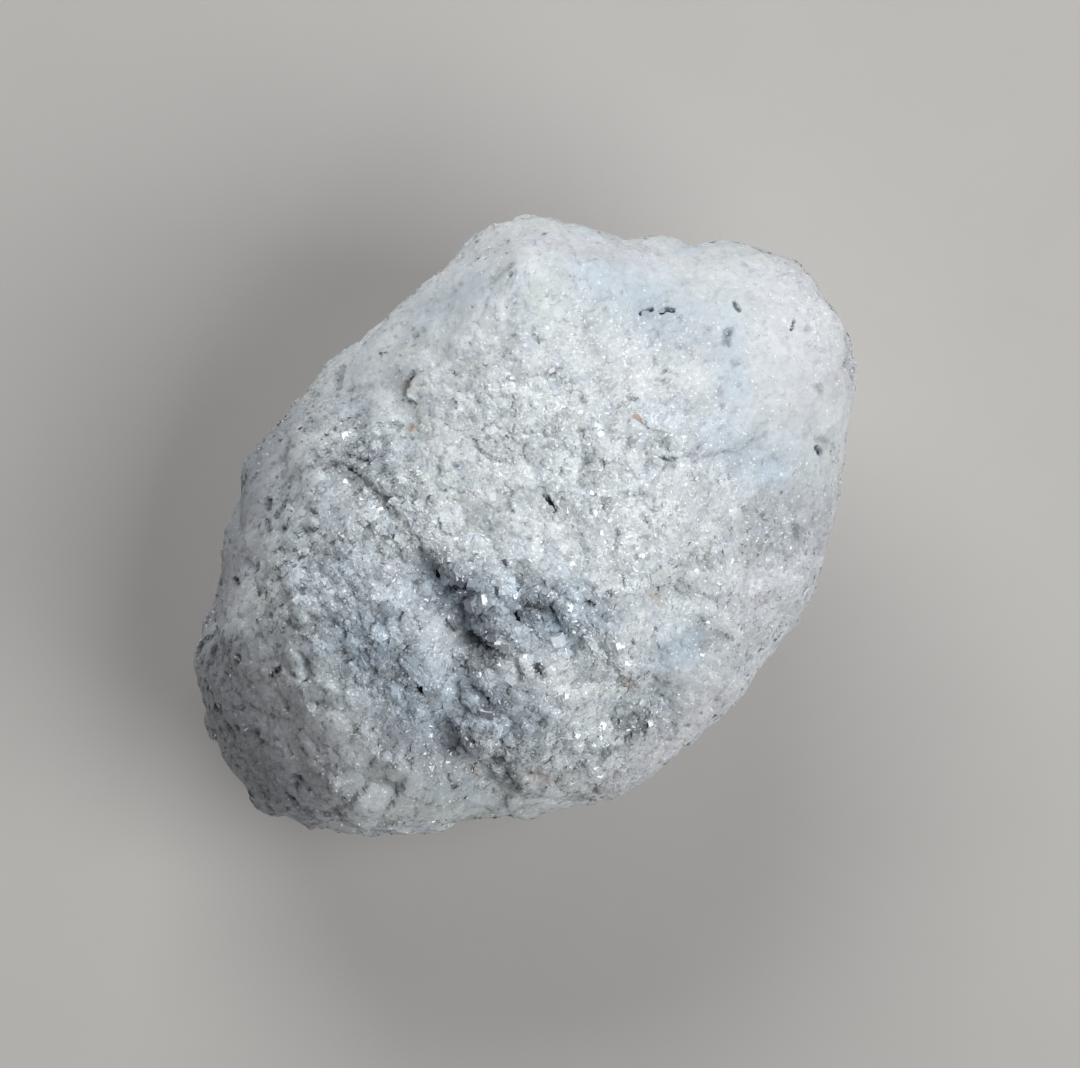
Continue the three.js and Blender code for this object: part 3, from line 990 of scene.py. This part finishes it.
# Each shape is its corners, at these shares of its width from its middle, and its triangles
CORNER_HALF = 0.36
CORNER_SHAPE = (
    np.array([[1, 1, 1], [1, -1, -1], [-1, 1, -1], [-1, -1, 1]]) * CORNER_HALF,
    np.array([[0, 1, 2], [0, 3, 1], [0, 2, 3], [1, 3, 2]]),
)
TIP_HALF = 0.55
EIGHT_SIDED_SHAPE = (
    np.array([[1, 0, 0], [-1, 0, 0], [0, 1, 0], [0, -1, 0], [0, 0, 1], [0, 0, -1]]) * TIP_HALF,
    np.array(
        [[0, 2, 4], [2, 1, 4], [1, 3, 4], [3, 0, 4], [2, 0, 5], [1, 2, 5], [3, 1, 5], [0, 3, 5]]
    ),
)
BLOCK_HALF = 0.45
BLOCK_SHAPE = (
    np.array(list(itertools.product((-1, 1), repeat=3))) * BLOCK_HALF,
    np.array(
        [
            [0, 1, 3], [0, 3, 2], [4, 6, 7], [4, 7, 5], [0, 4, 5], [0, 5, 1],
            [2, 3, 7], [2, 7, 6], [0, 2, 6], [0, 6, 4], [1, 5, 7], [1, 7, 3],
        ]
    ),
)
face_a, face_b, face_c = (body[body_faces[:, i]] for i in range(3))
face_area = lengths(face_outward(body, body_faces))[:, 0] / 2
# The underside holds this share of the grains that the crown has, for the same area. The one
# gives way to the other where the surface faces up by between these amounts.
UNDERSIDE_SHARE = 0.45
UNDERSIDE_END = (-0.35, 0.15)
crown = ramp(soft_outward[body_faces].mean(1)[:, 2], *UNDERSIDE_END)


def scattered(count, weight, luck):
    """Places on the stone, evenly spread over its faces by area times weight."""
    reach = np.cumsum(face_area * weight)
    steps = (np.arange(count) + luck.random(count)) / count * reach[-1]
    face = np.minimum(np.searchsorted(reach, steps), len(body_faces) - 1)
    first, second = luck.random((2, count, 1))
    over = first + second > 1
    first, second = np.where(over, 1 - first, first), np.where(over, 1 - second, second)
    at = face_a[face] * (1 - first - second) + face_b[face] * first + face_c[face] * second
    corners = body_faces[face]
    normals = unit(soft_outward[corners].mean(1))
    return at, normals, corners


def random_turns(count, luck):
    """Turns that are equally likely in every direction, as matrices."""
    w, x, y, z = unit(luck.normal(size=(count, 4))).T
    return np.stack(
        [
            1 - 2 * (y * y + z * z), 2 * (x * y - z * w), 2 * (x * z + y * w),
            2 * (x * y + z * w), 1 - 2 * (x * x + z * z), 2 * (y * z - x * w),
            2 * (x * z - y * w), 2 * (y * z + x * w), 1 - 2 * (x * x + y * y),
        ],
        1,
    ).reshape(-1, 3, 3)


# Sizes: how much the widths differ, how far chance stretches each grain, how flat wear has left
# them, and how much rough ground adds to width and height and worn ground takes away
GRAIN_SPREAD = 0.3
GRAIN_STRETCH = (0.7, 1.3)
GRAIN_HEIGHT = 0.3
WIDTH_VARIES = (0.8, 0.3)
HEIGHT_VARIES = (1.6, 0.5)
# No grain stands in a black pit, or this near to what the stone rests on
PIT_BARE = 0.85
REST_BARE = 0.05 * MM
# Brightness: how much the grains differ, the shares of dark ones, and how dark or bright they are
GRAIN_SHADE = 0.06
DARK_GRAINS = 0.04
DARK_GRAINS_IN_SEAMS = 0.06
DARK_GRAINS_IN_ROUGH = 0.16
WORN_DARK_LOSS = 0.7
WORN_SHADE_LOSS = 0.5
DARK_GRAIN = (0.12, 0.42)
BRIGHT_GRAIN = 0.15
# The range of how much of a pit's dark a grain takes, and how strongly its faces show their slant
GRAIN_PIT = (0.5, 1.2)
GRAIN_FACET = (0.45, 1.2, 0.2)
# Shares of the grains that glint, and that are clear flat crystals
GLINTING_GRAINS = 0.65
CLEAR_GRAINS = 0.04
CLEAR_IN_ROUGH = 0.6


def many(shape, places):
    """The corners and triangles of one shape set at many places, given as its corners there."""
    number = np.arange(len(places))[:, None, None] * len(shape[0])
    return places.reshape(-1, 3), (shape[1][None] + number).reshape(-1, 3)


def set_grains(shape, at, normals, here, across, sunk, luck):
    """The corners of every grain, turned by chance, worn low and sunk by a share of its width."""
    count = len(at)
    width = across * np.exp(luck.normal(0, GRAIN_SPREAD, count))
    width *= varied(here["rough"], here["worn"], *WIDTH_VARIES)
    stretch = width[:, None] * luck.uniform(*GRAIN_STRETCH, (count, 3))
    turned = (shape[0] * stretch[:, None, :]) @ random_turns(count, luck)
    low = GRAIN_HEIGHT * varied(here["rough"], here["worn"], *HEIGHT_VARIES)
    up = (turned * normals[:, None, :]).sum(2, keepdims=True) * normals[:, None, :]
    turned -= up * (1 - low)[:, None, None]
    centre = at - normals * (width * sunk)[:, None]
    grains = turned + centre[:, None, :]
    grains[..., 2] = np.maximum(grains[..., 2], 0)
    return grains, centre


def grain_shade(here, bright_share, luck):
    """How much brighter or darker than the stone each grain is."""
    dark_share = DARK_GRAINS + DARK_GRAINS_IN_SEAMS * here["seam"]
    dark_share += DARK_GRAINS_IN_ROUGH * here["rough"]
    dark_share *= 1 - WORN_DARK_LOSS * here["worn"]
    count = len(dark_share)
    shade = here["shade"] + luck.normal(0, GRAIN_SHADE, count) * (1 - WORN_SHADE_LOSS * here["worn"])
    shade -= (luck.random(count) < dark_share) * luck.uniform(*DARK_GRAIN, count)
    return shade + (luck.random(count) < bright_share) * BRIGHT_GRAIN


def grain_piece(name, shape, count, across, sunk, bright_share, seed, weight):
    """One mesh of many grains. across is their mean width, and weight says where they lie."""
    luck = np.random.default_rng(seed)
    at, normals, corners = scattered(count, weight, luck)
    keep = (body_dark[corners].max(1) < PIT_BARE) & (at[:, 2] > REST_BARE)
    at, normals, corners = at[keep], normals[keep], corners[keep]
    here = tints(at, normals)
    grains, centre = set_grains(shape, at, normals, here, across, sunk, luck)
    grain_corners, triangles = many(shape, grains)
    piece = mesh_piece(name, grain_corners, triangles)
    each, faces_each = len(shape[0]), len(shape[1])
    facing = np.repeat(centre - stone_middle, faces_each, 0)
    add_colour_map(piece, grain_corners, triangles, facing)
    here["shade"] = grain_shade(here, bright_share, luck)
    here["pit"] = body_dark[corners].mean(1) * luck.uniform(*GRAIN_PIT, len(at))
    here["soft"] = normals
    here["facet"] = facets(here["rough"], here["worn"], *GRAIN_FACET)
    for key, values in here.items():
        paint(piece, key, np.repeat(values, each, axis=0))
    paint(piece, "tone", face_tones(here["rough"], here["worn"], faces_each, luck), "FACE")
    unworn = 1 - WORN_GLINT_LOSS * here["worn"]
    shares = [GLINTING_GRAINS * unworn, (CLEAR_GRAINS + CLEAR_IN_ROUGH * here["rough"]) * unworn]
    shared_out(piece, [frosted, glinting, clear], shares, luck, faces_each)
    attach(piece, "root")


# The blocks lie anywhere a little, and mostly in rough ground
BLOCKS_ANYWHERE = 0.4
BLOCKS_IN_ROUGH = 3
anywhere = UNDERSIDE_SHARE + (1 - UNDERSIDE_SHARE) * crown
rough_faces = body_tints["rough"][body_faces].mean(1)
mostly_rough = anywhere * (BLOCKS_ANYWHERE + BLOCKS_IN_ROUGH * rough_faces)
# Each piece's shape, number of grains, mean width, how deep they are sunk as a share of it, share
# of bright ones, seed of chance, and where they lie
GRAINS = {
    "fine_grain_1": (CORNER_SHAPE, 47000, 0.06 * MM, 0.12, 0.05, 11, anywhere),
    "fine_grain_2": (CORNER_SHAPE, 47000, 0.05 * MM, 0.1, 0.05, 12, anywhere),
    "crystals_1": (EIGHT_SIDED_SHAPE, 20000, 0.06 * MM, 0.14, 0.05, 13, anywhere),
    "crystals_2": (EIGHT_SIDED_SHAPE, 20000, 0.05 * MM, 0.12, 0.1, 14, anywhere),
    "blocks": (BLOCK_SHAPE, 9500, 0.06 * MM, 0.12, 0.08, 15, mostly_rough),
}
for name, grain in GRAINS.items():
    grain_piece(name, *grain)

# The bright crystals
#
# Single larger crystals of the same diamond, in the hollow and on the slopes, that flash where
# they catch the light. Each is a block with sloping sides that has grown fast in the stone.


def bright(place, length, width, turn):
    """One crystal, in the photograph's pixels, with the way its length runs in degrees."""
    return {"place": place, "length": length, "width": width, "turn": turn}


BRIGHT_CRYSTALS = {
    "white crystal": bright((412, 416), 11, 10, 20),
    "in the hollow, far": bright((506, 614), 15, 12, 25),
    "in the hollow, middle": bright((509, 630), 12, 9, 60),
    "in the hollow, near": bright((518, 640), 9, 8, 40),
    "sliver on the lobe": bright((431, 610), 13, 5, 0),
    "on the lobe, small": bright((432, 535), 6, 5, 30),
    "near left, long": bright((372, 692), 13, 6, 5),
    "near left, oval": bright((395, 699), 9, 7, 60),
    "near, oval": bright((438, 699), 9, 7, 70),
    "near, rosy": bright((411, 708), 7, 5, 20),
    "left, small": bright((402, 645), 6, 4, 10),
    "under the far wall": bright((488, 589), 9, 3, 50),
    "right edge": bright((797, 566), 10, 8, 45),
    "near edge": bright((498, 757), 9, 7, 15),
    "by the blocks": bright((560, 604), 8, 7, 35),
    "under the blocks": bright((533, 622), 9, 8, 15),
    "blocks, near": bright((548, 640), 10, 8, 50),
    "trough, far": bright((476, 664), 10, 8, 30),
    "trough, near": bright((486, 722), 9, 8, 65),
}
# How tall each is and how deep it sits, as shares of its width
CRYSTAL_TALL = 0.6
CRYSTAL_SUNK = 0.2
# How much of a crystal's length and width stands clear of its neighbours
CRYSTAL_SHOWN = 0.5
# Its top is narrower than its foot by this, and its slant differs by this
CRYSTAL_TAPER = 0.72
CRYSTAL_TILT = 0.25
# How much brighter it is than the stone, how much of the ground's darkness and painted shade it
# keeps, and how its faces show
CRYSTAL_BRIGHT = 0.12
CRYSTAL_DARK_AND_SHADE = 0.3
CRYSTAL_FACET = 0.6
CRYSTAL_TONE = 0.1


def bright_crystals(name, seed):
    """The single crystals, each a block with sloping sides, sunk in the stone at its own slant."""
    luck = np.random.default_rng(seed)
    places = np.array([c["place"] for c in BRIGHT_CRYSTALS.values()], float)
    seen = np.flatnonzero(body_seen > 0.5)
    shown = in_picture(body[seen])
    root = np.array([seen[lengths(shown - place)[:, 0].argmin()] for place in places])
    points, faces = BLOCK_SHAPE
    taper = np.where(points[:, 2:] > 0, [CRYSTAL_TAPER, CRYSTAL_TAPER, 1], 1)
    points = points * taper / (2 * BLOCK_HALF)
    blocks = []
    for corner, c in zip(root, BRIGHT_CRYSTALS.values()):
        up = unit(soft_outward[corner] + luck.normal(0, CRYSTAL_TILT, 3))
        turn = math.radians(c["turn"])
        along = picture_right * math.cos(turn) + picture_up * math.sin(turn)
        along = unit(along - (along @ up) * up)
        aside = np.cross(up, along)
        size = np.array([c["length"], c["width"], c["width"] * CRYSTAL_TALL]) * PICTURE_PIXEL
        size *= CRYSTAL_SHOWN
        block = (points * size) @ np.array([along, aside, up])
        blocks.append(block + body[corner] - up * c["width"] * PICTURE_PIXEL * CRYSTAL_SUNK)
    corners, triangles = many(BLOCK_SHAPE, np.array(blocks))
    piece = mesh_piece(name, corners, triangles)
    facing = np.repeat(body[root] - stone_middle, len(faces), 0)
    add_colour_map(piece, corners, triangles, facing)
    here = tints(body[root], soft_outward[root])
    here["shade"] = np.full(len(root), CRYSTAL_BRIGHT)
    # A crystal keeps a little of the ground's darkness and painted shade
    here["dark_and_shade"] = here["dark_and_shade"] * CRYSTAL_DARK_AND_SHADE
    here["pit"] = np.zeros(len(root))
    here["soft"] = soft_outward[root]
    here["facet"] = np.full(len(root), CRYSTAL_FACET)
    for key, values in here.items():
        paint(piece, key, np.repeat(values, len(points), axis=0))
    paint(piece, "tone", luck.uniform(-CRYSTAL_TONE, CRYSTAL_TONE, len(triangles)), "FACE")
    piece.data.materials.append(glinting)
    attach(piece, "root")


bright_crystals("bright_crystals", 16)

# The floor
#
# A plain pale floor that the stone rests on. It isn't part of the stone.

FLOOR_SIDE = 0.6
FLOOR_COLOUR = (0.62, 0.60, 0.58, 1)
FLOOR_SPECKLE = (0.58, 0.56, 0.54, 1)
FLOOR_GRAIN = {"scale": 300.0, "detail": 3}
FLOOR_ROUGHNESS = 0.7
half_floor = FLOOR_SIDE / 2
floor = mesh_piece(
    "floor",
    np.array([[x, y, 0.0] for x, y in itertools.product((-half_floor, half_floor), repeat=2)]),
    np.array([[0, 2, 3], [0, 3, 1]]),
)
floor_nodes = Nodes("pale floor")
floor_place = floor_nodes.add("ShaderNodeTexCoord").outputs["Object"]
floor_grain = floor_nodes.noise(floor_place, **FLOOR_GRAIN)
floor_shader = floor_nodes.add(
    "ShaderNodeBsdfPrincipled",
    {
        "Base Color": floor_nodes.mix(floor_grain, FLOOR_COLOUR, FLOOR_SPECKLE),
        "Roughness": FLOOR_ROUGHNESS,
    },
)
floor_nodes.add("ShaderNodeOutputMaterial", {"Surface": floor_shader.outputs[0]})
floor.data.materials.append(floor_nodes.material)

# The light
#
# Two broad soft lamps, one beyond the stone and one at its near right, and a faint even
# surround. A bearing is counted from the right of the picture, anticlockwise.

LAMPS = {
    "far lamp": {"bearing": 102, "rise": 36, "power": 0.136},
    "right lamp": {"bearing": 338, "rise": 50, "power": 0.149},
}
LAMP_AWAY = 150 * MM
LAMP_SIDE = 110 * MM
SURROUND_COLOUR = (0.95, 0.98, 1.0, 1)
SURROUND_STRENGTH = 0.04

for name, lamp in LAMPS.items():
    bearing, rise = math.radians(lamp["bearing"]), math.radians(lamp["rise"])
    level = picture_right * math.cos(bearing) + picture_up * math.sin(bearing)
    level[2] = 0
    way = unit(level) * math.cos(rise) + np.array([0, 0, math.sin(rise)])
    light = bpy.data.lights.new(name, "AREA")
    light.shape = "SQUARE"
    light.size = LAMP_SIDE
    light.energy = lamp["power"]
    lamp_object = bpy.data.objects.new(name, light)
    lamp_object.location = stone_middle + way * LAMP_AWAY
    lamp_object.rotation_mode = "QUATERNION"
    lamp_object.rotation_quaternion = Vector(way).to_track_quat("Z", "Y")
    bpy.context.scene.collection.objects.link(lamp_object)

world = bpy.data.worlds.new("surround")
world.use_nodes = True
background = world.node_tree.nodes["Background"]
background.inputs["Color"].default_value = SURROUND_COLOUR
background.inputs["Strength"].default_value = SURROUND_STRENGTH
bpy.context.scene.world = world
bpy.context.scene.view_settings.view_transform = "Standard"

# The camera
#
# It looks almost straight down, from where the photograph was taken.

SENSOR = 36
PICTURE_WIDTH = 1080
CLIP = 20
camera_data = bpy.data.cameras.new("camera")
camera_data.sensor_width = SENSOR
camera_data.lens = SENSOR * PICTURE_AWAY / (PICTURE_WIDTH * PICTURE_PIXEL)
camera_data.clip_start = PICTURE_AWAY / CLIP
camera_data.clip_end = PICTURE_AWAY * CLIP
camera = bpy.data.objects.new("camera", camera_data)
camera.location = looked_at + towards_camera * PICTURE_AWAY
camera.rotation_mode = "QUATERNION"
camera.rotation_quaternion = Vector(towards_camera).to_track_quat("Z", "Y")
bpy.context.scene.collection.objects.link(camera)
bpy.context.scene.camera = camera
